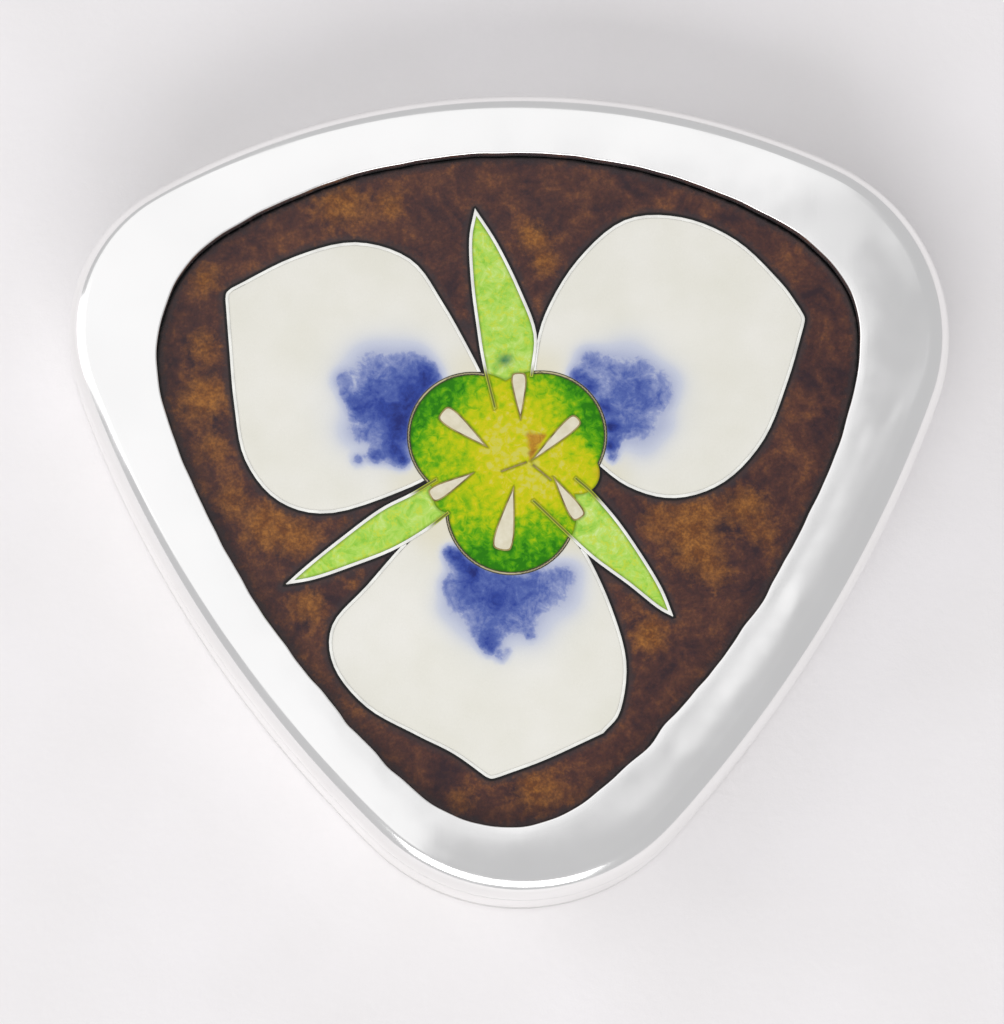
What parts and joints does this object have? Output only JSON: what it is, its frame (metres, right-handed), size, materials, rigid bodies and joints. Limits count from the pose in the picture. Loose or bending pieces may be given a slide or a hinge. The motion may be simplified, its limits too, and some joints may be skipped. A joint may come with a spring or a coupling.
{
  "type": "flower pin",
  "caption": "Rounded triangular silver pin with a domed enamel flower plaque, a hinged pin stem and a rolling safety catch in its recessed back.",
  "frame": {"origin": "centre of the case's bounding rectangle, on the plane of the rear rim", "axes": "+Z out of the flower's face, +Y towards the tip of the top sepal, +X to the right of someone who looks at the flower"},
  "size_m": [0.0464, 0.0427, 0.0065],
  "materials": {
    "polished_silver": "mirror-polished silver, soft hand-finished surface",
    "satin_silver": "satin silver, fine file and emery lines",
    "fine_silver": "fine silver, unseen under the enamel",
    "steel_fixings": "turned steel",
    "pin_steel": "drawn and polished hard steel wire",
    "cork_pad": "thin cork sheet",
    "counter_enamel": "mottled dark counter enamel",
    "brown_enamel": "transparent amber-brown enamel over crinkled foil",
    "white_enamel": "opaque ivory white enamel with a blue stain, silky gloss",
    "green_enamel": "light green enamel mottled with pale yellow green",
    "heart_enamel": "transparent green to yellow enamel over foil",
    "ivory_enamel": "opaque ivory enamel",
    "cloison_wire": "fine silver wire, stoned flush with the enamel",
    "fine_wire": "thin darkened wire"
  },
  "bodies": {
    "case": {"front_plate": "polished_silver", "side_band": "polished_silver", "seat_ring": "satin_silver", "back_plate": "satin_silver", "screw_posts": "satin_silver", "back_screws": "steel_fixings", "backing_pad": "cork_pad", "counter_enamel": "counter_enamel", "silver_base": "fine_silver", "ground_enamel": "brown_enamel", "petal_left_wire": "cloison_wire", "petal_right_wire": "cloison_wire", "petal_lower_wire": "cloison_wire", "petal_left_enamel": "white_enamel", "petal_right_enamel": "white_enamel", "petal_lower_enamel": "white_enamel", "sepal_top_wire": "cloison_wire", "sepal_left_wire": "cloison_wire", "sepal_right_wire": "cloison_wire", "sepal_top_enamel": "green_enamel", "sepal_left_enamel": "green_enamel", "sepal_right_enamel": "green_enamel", "lobe_left_wire": "cloison_wire", "lobe_right_wire": "cloison_wire", "lobe_lower_wire": "cloison_wire", "heart_enamel": "heart_enamel", "vein_wires": "fine_wire", "stamen_top_wire": "fine_wire", "stamen_east_wire": "fine_wire", "stamen_southeast_wire": "fine_wire", "stamen_south_wire": "fine_wire", "stamen_west_wire": "fine_wire", "stamen_northwest_wire": "fine_wire", "stamen_top_enamel": "ivory_enamel", "stamen_east_enamel": "ivory_enamel", "stamen_southeast_enamel": "ivory_enamel", "stamen_south_enamel": "ivory_enamel", "stamen_west_enamel": "ivory_enamel", "stamen_northwest_enamel": "ivory_enamel", "hinge_base": "satin_silver", "hinge_rivet": "steel_fixings", "catch_housing": "satin_silver"},
    "stem": {"pin_stem": "pin_steel"},
    "rotor": {"catch_rotor": "satin_silver"}
  },
  "joints": [
    {"name": "stem_hinge", "type": "hinge", "parent": "case", "child": "stem", "pos_m": [-0.015, 0.007, 0.0015], "axis": [0, 1, 0], "range_deg": [0, 95]},
    {"name": "catch_turn", "type": "hinge", "parent": "case", "child": "rotor", "pos_m": [0.013, 0.007, 0.0015], "axis": [-1, 0, 0], "range_deg": [0, 65]}
  ]
}
